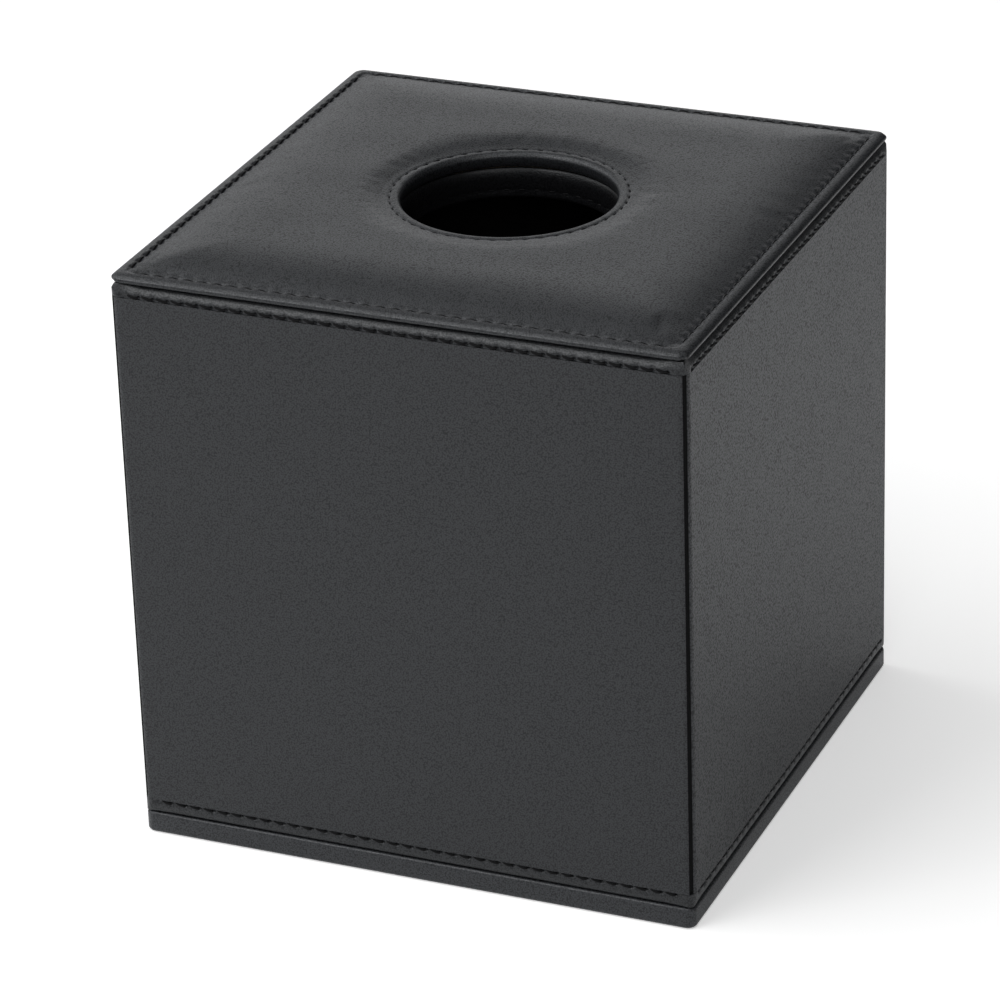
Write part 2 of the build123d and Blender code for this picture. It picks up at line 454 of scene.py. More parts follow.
class Shading:
    """Builds one node tree, of a material or the world."""

    def __init__(self, owner: Any) -> None:
        """Empties the owner's node tree."""
        owner.use_nodes = True
        self.tree = owner.node_tree
        self.tree.nodes.clear()

    def node(self, kind: str, settings: dict, inputs: dict, output: Any = 0) -> Wire:
        """Adds a node.

        Args:
            kind: Type of the node.
            settings: Properties, set before the sockets. A ramp's stops go under "stops".
            inputs: Value or wire for each input, by name or number.
            output: Name or number of the output that is returned.

        Returns:
            The chosen output.
        """
        added = self.tree.nodes.new(kind)
        for key, value in settings.items():
            if key == "stops":
                self._set_stops(added.color_ramp, value)
            else:
                setattr(added, key, value)
        for key, value in inputs.items():
            if isinstance(value, Wire):
                self.tree.links.new(value.socket, added.inputs[key])
            else:
                added.inputs[key].default_value = value
        return Wire(self, added.outputs[output] if added.outputs else added)

    @staticmethod
    def _set_stops(ramp: bpy.types.ColorRamp, stops: Sequence[tuple]) -> None:
        """Gives a colour ramp its stops, each a position and a grey level."""
        while len(ramp.elements) < len(stops):
            ramp.elements.new(1.0)
        for element, (position, level) in zip(ramp.elements, stops):
            element.position = position
            element.color = (level, level, level, 1.0)

    def coordinates(self) -> Wire:
        """The surface's own coordinates, in metres."""
        return self.node("ShaderNodeTexCoord", {}, {}, "Object")

    def noise(self, place: Wire, size: float, detail: float = 2.0) -> Wire:
        """Soft noise whose blotches are about as wide as size, 0 to 1."""
        return self.node("ShaderNodeTexNoise", {}, {"Vector": place, "Scale": 1 / size, "Detail": detail})

    def cells(self, place: Wire, size: float) -> Wire:
        """Distance to the middle of the nearest cell, the cells about as wide as size."""
        return self.node("ShaderNodeTexVoronoi", {}, {"Vector": place, "Scale": 1 / size}, "Distance")

    def blend(self, factor: Any, low: Any, high: Any) -> Wire:
        """Colour between low and high."""
        return self.node("ShaderNodeMix", {"data_type": "RGBA"}, {0: factor, 6: low, 7: high}, 2)

    def bump(self, height: Wire, depth: float) -> Wire:
        """Surface normal of a height from 0 to 1 that stands for depth in metres."""
        return self.node("ShaderNodeBump", {}, {"Height": height, "Distance": depth}, "Normal")

    def principled(self, inputs: dict) -> None:
        """Ends the tree in a Principled shader."""
        shader = self.node("ShaderNodeBsdfPrincipled", {}, inputs)
        self.node("ShaderNodeOutputMaterial", {}, {"Surface": shader})


def shade(colour: tuple, factor: float) -> tuple:
    """A colour made lighter or darker by a factor."""
    return tuple(channel * factor for channel in colour[:3]) + (1.0,)


@dataclass(frozen=True)
class LeatherFinish:
    """Black leather with a fine pebble grain, its coating thicker on the pebbles than between them, its
    colour painted lighter on the pebbles and darker in the valleys as light and shade.
    """

    name: str
    colour: tuple = (0.0125, 0.013, 0.0144, 1.0)
    sheen_tint: tuple = (0.93, 0.965, 1.0, 1.0)
    roughness: float = 0.34
    specular: float = 0.26
    coat: float = 0.62
    wear: float = 0.6
    grain: float = 0.36 * MM
    grain_height: float = 0.045 * MM
    waviness: float = 0.03 * MM
    valley_start: float = 0.35
    valley_width: float = 0.4
    valley_rough: float = 0.08
    cloud_size: float = 16.0
    cloud_tone: float = 0.1
    cloud_rough: float = 0.06
    # The pebble tops are painted lighter and the valleys darker than the colour: painted light and shade of
    # the grain.
    light: float = 1.5
    dark: float = 0.5

    def build(self) -> bpy.types.Material:
        """Makes the material.

        Returns:
            The material.
        """
        material = bpy.data.materials.new(self.name)
        kit = Shading(material)
        place = kit.coordinates()
        pebbles = kit.cells(place, self.grain)
        valley = ((pebbles - self.valley_start) / self.valley_width).clamped()
        cloud = kit.noise(place, self.grain * self.cloud_size)
        height = 1 - valley + cloud * (self.waviness / self.grain_height)
        normal = kit.bump(height, self.grain_height)
        # Painted shade in the grain's valleys and painted light on its pebbles, with the cloud's random tone
        # on top.
        tone = (valley + (cloud - 0.5) * self.cloud_tone).clamped()
        colour = kit.blend(tone, shade(self.colour, self.light), shade(self.colour, self.dark))
        rough = self.roughness + valley * self.valley_rough + (cloud - 0.5) * self.cloud_rough
        kit.principled({"Base Color": colour, "Roughness": rough, "Normal": normal,
                        "Specular IOR Level": self.specular, "Specular Tint": self.sheen_tint,
                        "Coat Weight": (1 - valley * self.wear) * self.coat, "Coat Roughness": self.roughness,
                        "Coat Tint": self.sheen_tint})
        return material


@dataclass(frozen=True)
class VelvetFinish:
    """Short black pile that lines the inside."""

    name: str
    colour: tuple = (0.008, 0.008, 0.009, 1.0)
    pile: float = 0.35 * MM
    depth: float = 0.12 * MM
    stroke_size: float = 40.0
    roughness: float = 0.85

    def build(self) -> bpy.types.Material:
        """Makes the material.

        Returns:
            The material.
        """
        material = bpy.data.materials.new(self.name)
        kit = Shading(material)
        place = kit.coordinates()
        pile = kit.noise(place, self.pile, FINE_DETAIL)
        strokes = kit.noise(place, self.pile * self.stroke_size)
        tone = (pile * 0.6 + strokes * 0.4).clamped()
        colour = kit.blend(tone, shade(self.colour, 0.6), shade(self.colour, 1.8))
        kit.principled({"Base Color": colour, "Roughness": self.roughness + (strokes - 0.5) * 0.1,
                        "Normal": kit.bump(pile, self.depth), "Sheen Weight": 0.25,
                        "Sheen Roughness": 0.5, "Specular IOR Level": 0.2})
        return material


@dataclass(frozen=True)
class GrainedFinish:
    """A material with specks at two scales: fibreboard, foam, thread or plated steel."""

    name: str
    colour: tuple
    speck: float
    roughness: float
    metallic: float = 0.0
    depth: float = 0.05 * MM
    contrast: float = 0.25
    specular: float = 0.5
    broad_size: float = 14.0

    def build(self) -> bpy.types.Material:
        """Makes the material.

        Returns:
            The material.
        """
        material = bpy.data.materials.new(self.name)
        kit = Shading(material)
        place = kit.coordinates()
        fine = kit.noise(place, self.speck, FINE_DETAIL)
        broad = kit.noise(place, self.speck * self.broad_size)
        tone = (fine * 0.7 + broad * 0.3).clamped()
        colour = kit.blend(tone, shade(self.colour, 1 - self.contrast), shade(self.colour, 1 + self.contrast))
        kit.principled({"Base Color": colour, "Roughness": self.roughness + (fine - 0.5) * 0.1,
                        "Normal": kit.bump(fine, self.depth), "Metallic": self.metallic,
                        "Specular IOR Level": self.specular})
        return material


@dataclass
class Finishes:
    """The finishes of the cover, each made once."""

    pad: bpy.types.Material
    wall: bpy.types.Material
    side_wall: bpy.types.Material
    hem: bpy.types.Material
    base: bpy.types.Material
    thread: bpy.types.Material
    # Dark material that paints shade into the walls' corner seams.
    paint: bpy.types.Material
    collar: bpy.types.Material
    velvet: bpy.types.Material
    board: bpy.types.Material
    foam: bpy.types.Material
    magnet: bpy.types.Material

    @classmethod
    def build(cls) -> "Finishes":
        """Makes every material.

        Returns:
            The finishes.
        """
        return cls(
            pad=LeatherFinish("pad_leather", wear=0.66).build(),
            wall=LeatherFinish("wall_leather", roughness=0.42, wear=0.54).build(),
            side_wall=LeatherFinish("side_wall_leather", roughness=0.42, grain=0.46 * MM, wear=0.74).build(),
            # The hems' leather is painted darker than the walls': painted shade for the dark bands along the
            # bindings' rolls.
            hem=LeatherFinish("hem_leather", colour=(0.009, 0.0094, 0.0104, 1.0)).build(),
            # The collar's leather is painted almost black, with little shine: painted shade for the inside of
            # the opening.
            collar=LeatherFinish("collar_leather", colour=(0.004, 0.004, 0.0045, 1.0), roughness=0.28,
                                 specular=0.15, coat=0.25).build(),
            # The base's leather is painted lighter than the walls': painted light on the base plate's faces.
            base=LeatherFinish("base_leather_finish", colour=(0.018, 0.0187, 0.0206, 1.0)).build(),
            thread=GrainedFinish("waxed_thread", (0.003, 0.003, 0.0035, 1.0), 0.2 * MM, 0.6,
                                 depth=0.03 * MM, specular=0.12).build(),
            # Painted shade for the corner seams' dark line, where the panels meet.
            paint=GrainedFinish("painted_seam_shade", (0.004, 0.004, 0.0045, 1.0), 0.4 * MM, 0.7,
                                depth=0.03 * MM, specular=0.12).build(),
            velvet=VelvetFinish("velvet").build(),
            board=GrainedFinish("fibreboard", (0.42, 0.31, 0.2, 1.0), 0.6 * MM, 0.8).build(),
            foam=GrainedFinish("foam", (0.62, 0.6, 0.55, 1.0), 0.8 * MM, 0.9, depth=0.2 * MM).build(),
            magnet=GrainedFinish("plated_steel", (0.55, 0.55, 0.56, 1.0), 2.0 * MM, 0.3, metallic=1.0,
                                 contrast=0.06, depth=0.005 * MM).build(),
        )


def dress(thing: bpy.types.Object, material: bpy.types.Material) -> None:
    """Gives an object one material in place of those it has."""
    if thing.data.materials:
        for i in range(len(thing.data.materials)):
            thing.data.materials[i] = material
    else:
        thing.data.materials.append(material)


def settle(thing: bpy.types.Object, material: bpy.types.Material, body: str,
           replaced: Iterable[str] = ()) -> bpy.types.Object:
    """Dresses a finished piece and ties it to the frame.

    Args:
        thing: The piece.
        material: Its finish.
        body: The body that it moves with.
        replaced: Nodes that it stands for.

    Returns:
        The piece.
    """
    dress(thing, material)
    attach(thing, body)
    if replaced:
        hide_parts(*replaced)
    LOG.info("%s: %d faces, rides on %s", thing.name, len(thing.data.polygons), body)
    return thing


@dataclass
class StitchTree:
    """Geometry Nodes tree that sews stitches along a path of edges."""

    name: str = "stitch_row"
    resolution: int = 8
    thickness: tuple = ((0.0, 0.62), (0.35, 1.0), (0.7, 0.95), (1.0, 0.5))

    def build(self) -> bpy.types.NodeTree:
        """Builds the tree, with named inputs for the stitch's sizes, its unevenness and its material.

        Returns:
            The node group.
        """
        group = bpy.data.node_groups.new(self.name, "GeometryNodeTree")
        face = group.interface
        face.new_socket("Path", in_out="INPUT", socket_type="NodeSocketGeometry")
        for label, value in (("Pitch", 3.4 * MM), ("Length", 2.9 * MM), ("Thread", 0.3 * MM),
                             ("Rise", 0.25 * MM), ("Sink", 0.3 * MM), ("Slant", 0.0), ("Wobble", 0.04)):
            face.new_socket(label, in_out="INPUT", socket_type="NodeSocketFloat").default_value = value
        face.new_socket("Seed", in_out="INPUT", socket_type="NodeSocketInt").default_value = 7
        face.new_socket("Material", in_out="INPUT", socket_type="NodeSocketMaterial")
        face.new_socket("Stitches", in_out="OUTPUT", socket_type="NodeSocketGeometry")
        nodes, links = group.nodes, group.links
        given = nodes.new("NodeGroupInput").outputs

        def add(kind: str, settings: Optional[dict] = None, inputs: Optional[dict] = None) -> Any:
            """Adds a node, its settings first and then its sockets."""
            made = nodes.new(kind)
            for key, value in (settings or {}).items():
                setattr(made, key, value)
            for key, value in (inputs or {}).items():
                if isinstance(value, bpy.types.NodeSocket):
                    links.new(value, made.inputs[key])
                else:
                    made.inputs[key].default_value = value
            return made

        def point(x: Any, z: Any) -> Any:
            """A point in the stitch's own plane."""
            return add("ShaderNodeCombineXYZ", {}, {0: x, 2: z}).outputs[0]

        def times(value: Any, factor: float) -> Any:
            """A value times a number."""
            return add("ShaderNodeMath", {"operation": "MULTIPLY"}, {0: value, 1: factor}).outputs[0]

        half, sunk = times(given["Length"], 0.5), times(given["Sink"], -1.0)
        bow = add("GeometryNodeCurveQuadraticBezier", {}, {
            "Resolution": self.resolution, "Start": point(times(half, -1.0), sunk),
            "Middle": point(times(half, -0.1), times(given["Rise"], 2.0)), "End": point(half, sunk)})
        share = add("GeometryNodeSplineParameter")
        swell = add("ShaderNodeFloatCurve", {}, {"Value": share.outputs["Factor"]})
        curve = swell.mapping.curves[0]
        start, *between, end = self.thickness
        curve.points[0].location = start
        curve.points[1].location = end
        for place in between:
            curve.points.new(*place)
        swell.mapping.update()
        shaped = add("GeometryNodeSetCurveRadius", {}, {"Curve": bow.outputs[0], "Radius": swell.outputs[0]})
        section = add("GeometryNodeCurvePrimitiveCircle", {"mode": "RADIUS"},
                      {"Resolution": self.resolution, "Radius": given["Thread"]})
        thread = add("GeometryNodeCurveToMesh", {}, {"Curve": shaped.outputs[0],
                                                     "Profile Curve": section.outputs[0], "Fill Caps": True})
        path = add("GeometryNodeMeshToCurve", {}, {"Mesh": given["Path"]})
        spaced = add("GeometryNodeResampleCurve", {"mode": "LENGTH"},
                     {"Curve": path.outputs[0], "Length": given["Pitch"]})
        tangent = add("GeometryNodeInputTangent")
        facing = add("GeometryNodeInputNamedAttribute", {"data_type": "FLOAT_VECTOR"}, {"Name": "row_normal"})
        ahead = add("FunctionNodeAlignRotationToVector", {"axis": "X"}, {"Vector": tangent.outputs[0]})
        upright = add("FunctionNodeAlignRotationToVector", {"axis": "Z", "pivot_axis": "X"},
                      {"Rotation": ahead.outputs[0], "Vector": facing.outputs[0]})
        jitter = add("FunctionNodeRandomValue", {"data_type": "FLOAT"},
                     {2: times(given["Wobble"], -1.0), 3: given["Wobble"], "Seed": given["Seed"]})
        lean = add("ShaderNodeMath", {"operation": "ADD"}, {0: given["Slant"], 1: jitter.outputs[1]})
        spin = add("FunctionNodeAxisAngleToRotation", {}, {"Axis": (0.0, 0.0, 1.0), "Angle": lean.outputs[0]})
        leaning = add("FunctionNodeRotateRotation", {"rotation_space": "LOCAL"},
                      {"Rotation": upright.outputs[0], "Rotate By": spin.outputs[0]})
        sewn = add("GeometryNodeInstanceOnPoints", {}, {"Points": spaced.outputs[0],
                                                        "Instance": thread.outputs[0],
                                                        "Rotation": leaning.outputs[0]})
        real = add("GeometryNodeRealizeInstances", {}, {"Geometry": sewn.outputs[0]})
        smooth = add("GeometryNodeSetShadeSmooth", {}, {"Geometry": real.outputs[0]})
        dyed = add("GeometryNodeSetMaterial", {},
                   {"Geometry": smooth.outputs[0], "Material": given["Material"]})
        links.new(dyed.outputs[0], nodes.new("NodeGroupOutput").inputs[0])
        return group


@dataclass
class StitchRow:
    """One row of stitches: its path of edges, which way it faces, and the thread's sizes."""

    name: str
    path: list
    normals: list
    pitch: float
    replaced: tuple = ()
    length: float = 2.4 * MM
    thread: float = 0.36 * MM
    rise: float = 0.1 * MM
    sink: float = 0.42 * MM
    slant: float = 0.0
    wobble: float = 0.03
    seed: int = 11

    def build(self, tree: bpy.types.NodeTree, material: bpy.types.Material) -> bpy.types.Object:
        """Sews the row.

        Args:
            tree: The Geometry Nodes tree of the stitches.
            material: The thread's finish.

        Returns:
            The stitches as one plain mesh.
        """
        mesh = bpy.data.meshes.new(self.name)
        points = [p for strand in self.path for p in strand]
        edges, start = [], 0
        for strand in self.path:
            edges += [(start + i, start + i + 1) for i in range(len(strand) - 1)]
            start += len(strand)
        mesh.from_pydata(points, edges, [])
        facing = mesh.attributes.new("row_normal", "FLOAT_VECTOR", "POINT")
        facing.data.foreach_set("vector", [c for n in self.normals for c in n])
        row = bpy.data.objects.new(self.name, mesh)
        bpy.context.scene.collection.objects.link(row)
        modifier = row.modifiers.new("stitches", "NODES")
        modifier.node_group = tree
        values = {"Pitch": self.pitch, "Length": self.length, "Thread": self.thread, "Rise": self.rise,
                  "Sink": self.sink, "Slant": self.slant, "Wobble": self.wobble, "Seed": self.seed,
                  "Material": material}
        for item in tree.interface.items_tree:
            if item.name in values:
                modifier[item.identifier] = values[item.name]
        bake_modifiers(row)
        return settle(row, material, COVER, self.replaced)


def side_paths(length: float, reach: float, height: float, upward: bool, sizes: Sizes) -> tuple:
    """Straight stitch paths along the four sides.

    Args:
        length: Length of each side that the row may use.
        reach: Distance of the row from the centre.
        height: Height of the row.
        upward: Whether the stitches face up, and not outwards.
        sizes: The cover's sizes.

    Returns:
        The paths and the facing of each of their points.
    """
    half = (stitch_count(length, sizes) - 1) / 2 * sizes.pitch * (1 + PATH_SLACK)
    paths, normals = [], []
    for side in Side:
        turn = side.turn()
        paths.append([tuple(turn @ Vector((x, -reach, height))) for x in (-half, half)])
        facing = turn @ Vector((0, 0, 1) if upward else (0, -1, 0))
        normals += [tuple(facing)] * 2
    return paths, normals


def ring_path(radius: float, height: float, sense: Sense, count: int) -> tuple:
    """Round stitch path, open by one stitch so that its ends don't meet.

    Args:
        radius: Radius of the ring.
        height: Height of the ring.
        sense: Which way the stitches face.
        count: Number of stitches.

    Returns:
        The path, the facing of each of its points and the pitch.
    """
    path, normals = [], []
    for i in range((count - 1) * PATH_STEPS + 1):
        a = 2 * math.pi * i / (count * PATH_STEPS)
        path.append((radius * math.cos(a), radius * math.sin(a), height))
        normals.append((0, 0, 1) if sense is Sense.UP else (-math.cos(a), -math.sin(a), 0))
    return [path], normals, 2 * math.pi * radius / count * (1 - PATH_SLACK)


@dataclass
class LeatherSettle:
    """Short cloth simulation in which the sewn leather fills out over its foam."""

    magnify: float = 10.0
    frames: int = 20
    pressure: float = 4.0
    mass: float = 0.05
    stiffness: float = 15.0
    bending: float = 0.5
    spare: float = 0.006
    cap: float = 0.3 * MM
    quality: int = 8

    def move(self, rows: list) -> np.ndarray:
        """Simulates a ring-shaped sheet whose first and last rows are sewn down.

        Args:
            rows: Vertices of each row, counted the same way round.

        Returns:
            How far each vertex moves, by row and column.
        """
        wide, points = len(rows[0]), np.concatenate(rows) * self.magnify
        skin = RingSkin()
        for row in rows:
            skin.add_row(row * self.magnify)
        sheet = skin.build("leather_sheet")
        sewn = sheet.vertex_groups.new(name="sewn")
        sewn.add([*range(wide), *range(len(points) - wide, len(points))], 1.0, "REPLACE")
        cloth = sheet.modifiers.new("leather", "CLOTH")
        self.set_up(cloth, sewn.name)
        for frame_number in range(1, self.frames + 1):
            bpy.context.scene.frame_set(frame_number)
        evaluated = sheet.evaluated_get(bpy.context.evaluated_depsgraph_get())
        moved = np.zeros(len(points) * 3)
        evaluated.data.vertices.foreach_get("co", moved)
        bpy.data.objects.remove(sheet)
        bpy.context.scene.frame_set(1)
        shift = (moved.reshape(-1, 3) - points).reshape(len(rows), wide, 3) / self.magnify
        shift = (np.roll(shift, 1, axis=1) + 2 * shift + np.roll(shift, -1, axis=1)) / 4
        LOG.info("leather settled by up to %.2f mm before the cap", np.abs(shift).max() / MM)
        return self.cap * np.tanh(shift / self.cap)

    def set_up(self, cloth: bpy.types.ClothModifier, sewn: str) -> None:
        """Sets the leather's weight, stiffness and spare length.

        Args:
            cloth: The simulation.
            sewn: Name of the group of vertices that stay in place.
        """
        settings = cloth.settings
        settings.quality = self.quality
        settings.mass = self.mass
        settings.tension_stiffness = self.stiffness
        settings.compression_stiffness = self.stiffness
        settings.shear_stiffness = self.stiffness
        settings.bending_stiffness = self.bending
        settings.vertex_group_mass = sewn
        settings.use_pressure = True
        settings.uniform_pressure_force = self.pressure
        settings.shrink_min = -self.spare
        settings.effector_weights.gravity = 0.0
        cloth.collision_settings.use_collision = False
        cloth.point_cache.frame_start = 1
        cloth.point_cache.frame_end = self.frames


@dataclass
class PaddedTop:
    """Padded leather top: welted edge, swelling field, sewn ring and the opening's rolled lip."""

    sizes: Sizes
    loop: PlanLoop
    toe: float = 0.2 * MM
    slope: float = 21.0 * MM
    fullness: float = 2.6
    mitre: float = 5.0
    swell: float = 0.3 * MM
    dip: float = 0.8 * MM
    dip_slope: float = 5.4 * MM
    edge_width: float = 2.3 * MM
    edge_rise: float = 1.1 * MM
    foot_width: float = 0.8 * MM
    foot_rise: float = 0.65 * MM
    field_start: float = 4.4 * MM
    lip_start: float = 27.6 * MM
    lip_roll: float = 1.25 * MM
    foam_inset: float = 8.0 * MM
    foam_hole: float = 34.5 * MM
    ring_count: int = 48
    field_rows: int = 46
    sheet_rows: int = 24
    thinning: int = 4
    pinch: float = 0.35 * MM
    pinch_width: float = 0.9 * MM
    pinch_reach: float = 2.6 * MM
    seam_gap: float = 0.45 * MM
    seam_blend: float = 0.35 * MM
    wave: float = 0.05 * MM
    wave_length: float = 26.0 * MM
    welt_radius: float = 1.0 * MM
    field_radius: float = 1.6 * MM
    lip_foot: float = 0.6 * MM
    lip_flare: float = 0.4 * MM
    lip_gap: float = 0.25 * MM
    welt_row_sink: float = 0.08 * MM
    ring_row_sink: float = 0.2 * MM
    welt_insets: tuple = (2.4, 2.5, 2.6, 2.7, 2.8, 2.9, 3.0, 3.1, 3.2, 3.35, 3.5, 3.7, 3.95, 4.2)
    ring_radii: tuple = (27.2, 26.85, 26.6, 26.4, 26.25, 26.1, 25.95, 25.8, 25.6, 25.35, 25.1, 24.85)

    def press(self) -> SeamPress:
        """How the welt's stitches press the leather."""
        length = 2 * (self.sizes.half - self.sizes.welt_inset)
        return SeamPress(self.sizes.pitch, stitch_count(length, self.sizes), groove=0.16 * MM, hole=0.1 * MM,
                         hole_width=0.4 * MM, pucker=0.14 * MM, pucker_reach=1.3 * MM)

    def ring_press(self) -> SeamPress:
        """How the opening's stitches press the leather."""
        return SeamPress(2 * math.pi * self.sizes.ring / self.ring_count, self.ring_count * 3,
                         groove=0.16 * MM, hole=0.12 * MM, hole_width=0.35 * MM,
                         pucker=0.03 * MM, pucker_reach=0.4 * MM)

    def height(self, plan: np.ndarray) -> np.ndarray:
        """Height of the padded surface, without what the stitches press in.

        Args:
            plan: Points in plan.

        Returns:
            Heights.
        """
        sizes = self.sizes
        start = sizes.half - sizes.welt_inset - self.seam_gap
        fall = np.zeros(len(plan))
        for axis in (0, 1):
            share = np.clip((start - np.abs(plan[:, axis])) / self.slope, 0.0, 1.0)
            fall = fall + (1 - share) ** (self.fullness * self.mitre)
        lift = 1 - np.minimum(fall, 1.0) ** (1 / self.mitre)
        toe = sizes.welt_top - self.toe
        radius = np.linalg.norm(plan, axis=1)
        sewn = 1 - smoothstep((radius - sizes.ring - self.seam_gap) / self.dip_slope)
        waves = Ripple(3, self.wave_length).at(plan[:, 0], plan[:, 1]) * self.wave * lift
        return toe + (sizes.crown + self.swell - toe) * lift - self.dip * sewn + waves

    def pinched(self, plan: np.ndarray, inset: float) -> np.ndarray:
        """Plan points of the welt, drawn in at the corners where its leather is pleated.

        Args:
            plan: Points in plan.
            inset: Their distance in from the edge.

        Returns:
            The moved points.
        """
        off = (np.abs(plan[:, 0]) - np.abs(plan[:, 1])) / math.sqrt(2)
        share = np.exp(-(off / self.pinch_width) ** 2) * max(0.0, 1 - inset / self.pinch_reach)
        return plan - np.sign(plan) * (share * self.pinch / math.sqrt(2))[:, None]

    def welt_rows(self) -> list:
        """Profile of the welt as inset and height, from the foot of the edge to the field."""
        sizes = self.sizes
        top, rows = sizes.welt_top, []
        for across, up in arc((1.0, 1.0), 1.0, 270, 180, 8):
            rows.append((self.foot_width * across, sizes.pad_bottom + self.foot_rise * up))
        for across, up in arc((1.0, 0.0), 1.0, 180, 90, 12):
            rows.append((self.edge_width * across, top - self.edge_rise * (1 - up)))
        rows += [(inset * MM, None) for inset in self.welt_insets]
        return rows

    def welt_height(self, inset: float, plan: np.ndarray, along: np.ndarray) -> np.ndarray:
        """Height of the leather near the welt's stitches.

        Args:
            inset: Distance in from the edge.
            plan: Points in plan.
            along: Distance of each point from the middle of its side.

        Returns:
            Heights.
        """
        across = inset - self.sizes.welt_inset
        share = smoothstep(across / (2 * self.seam_blend) + 0.5)
        flat = self.sizes.welt_top * (1 - share) + self.height(plan) * share
        return flat - self.press().sink(along, np.full(len(plan), across))

    def build(self, finishes: Finishes) -> bpy.types.Object:
        """Builds the top.

        Args:
            finishes: The cover's finishes.

        Returns:
            The padded top.
        """
        sizes, loop, skin = self.sizes, self.loop, RingSkin()
        for inset, height in self.welt_rows():
            plan = loop.points(inset, max(sizes.corner_radius - inset, self.welt_radius))
            plan = self.pinched(plan, inset)
            z = self.welt_height(inset, plan, loop.along(plan)) if height is None else height
            skin.add_row(lifted(plan, z))
        outer = loop.points(self.field_start, self.field_radius)[::self.thinning]
        angle = np.arctan2(outer[:, 1], outer[:, 0])
        rim = np.column_stack([np.cos(angle), np.sin(angle)])
        for row in self.settled_field(outer, rim):
            skin.add_row(row)
        press = self.ring_press()
        along = angle * sizes.ring
        for radius in self.ring_radii:
            plan = rim * radius * MM
            across = np.full(len(plan), radius * MM - sizes.ring)
            skin.add_row(lifted(plan, self.height(plan) - press.sink(along, across)))
        self.add_lip(skin, rim)
        self.add_inside(skin, outer, rim)
        skin.close()
        top = skin.build("padded_top", 70.0)
        settle(top, finishes.pad, COVER, ["cushion_leather"])
        return top

    def field_row(self, outer: np.ndarray, rim: np.ndarray, share: float) -> np.ndarray:
        """One row of the field.

        Args:
            outer: Outline of the field's outer edge.
            rim: Unit direction of each column from the opening's axis.
            share: Place of the row, 0 at the outer edge and 1 at the opening.

        Returns:
            Its vertices.
        """
        plan = outer * (1 - share) + rim * self.lip_start * share
        return lifted(plan, self.height(plan))

    def settled_field(self, outer: np.ndarray, rim: np.ndarray) -> list:
        """Rows of the field after its leather has settled.

        Args:
            outer: Outline of the field's outer edge.
            rim: Unit direction of each column from the opening's axis.

        Returns:
            Vertices of each row.
        """
        coarse = [self.field_row(outer[::2], rim[::2], share) for share in np.linspace(0, 1, self.sheet_rows)]
        move = LeatherSettle().move(coarse)
        between = (move + np.roll(move, -1, axis=1)) / 2
        move = np.stack([move, between], axis=2).reshape(len(coarse), -1, 3)
        rows = []
        for share in np.linspace(0, 1, self.field_rows):
            place = share * (self.sheet_rows - 1)
            low = min(int(place), self.sheet_rows - 2)
            shift = move[low] * (low + 1 - place) + move[low + 1] * (place - low)
            rows.append(self.field_row(outer, rim, share) + shift)
        return rows

    def add_lip(self, skin: RingSkin, rim: np.ndarray) -> None:
        """Adds the rolled lip that turns down into the opening.

        Args:
            skin: The skin so far, which ends beside the sewn ring.
            rim: Unit direction of each column from the opening's axis.
        """
        roll = self.lip_roll
        centre = self.sizes.opening + roll
        top = float(self.height(rim[:1] * centre)[0])
        for a in np.linspace(0, math.pi / 2, 11):
            plan = rim * (centre - roll * math.sin(a))
            skin.add_row(lifted(plan, top - roll * (1 - math.cos(a))))
        for share in (0.3, 0.6, 0.85, 1.0):
            drop = (top - roll - self.sizes.pad_bottom - self.lip_gap) * share
            skin.add_row(lifted(rim * (self.sizes.opening + self.lip_flare * share ** 2), top - roll - drop))
        skin.add_row(lifted(rim * (self.sizes.opening + self.lip_foot), self.sizes.pad_bottom))

    def add_inside(self, skin: RingSkin, outer: np.ndarray, rim: np.ndarray) -> None:
        """Adds the underside, with the bay that holds the foam.

        Args:
            skin: The skin so far, which ends under the lip.
            outer: Outline of the field's outer edge; not used.
            rim: Unit direction of each column from the opening's axis.
        """
        sizes = self.sizes
        edge = self.loop.points(self.foam_inset, self.field_radius)[::self.thinning]
        skin.add_row(lifted(rim * self.foam_hole, sizes.pad_bottom))
        for share in np.linspace(0, 1, 12):
            plan = rim * self.foam_hole * (1 - share) + edge * share
            skin.add_row(lifted(plan, self.height(plan) - sizes.pad_leather))
        skin.add_row(lifted(edge, sizes.pad_bottom))

    def rows(self) -> list:
        """The stitch rows of the welt and of the opening."""
        sizes = self.sizes
        reach = sizes.half - sizes.welt_inset
        paths, normals = side_paths(2 * reach, reach, sizes.welt_top - self.welt_row_sink, True, sizes)
        ring_z = float(self.height(np.array([[sizes.ring, 0.0]]))[0]) - self.ring_row_sink
        ring, ring_normals, pitch = ring_path(sizes.ring, ring_z, Sense.UP, self.ring_count)
        return [StitchRow("welt_stitches", paths, normals, sizes.pitch, ("welt_thread",), thread=0.22 * MM,
                          rise=0.14 * MM, length=2.5 * MM),
                StitchRow("opening_stitches", ring, ring_normals, pitch, ("lip_thread",), thread=0.21 * MM,
                          rise=0.13 * MM, length=2.5 * MM, seed=23)]


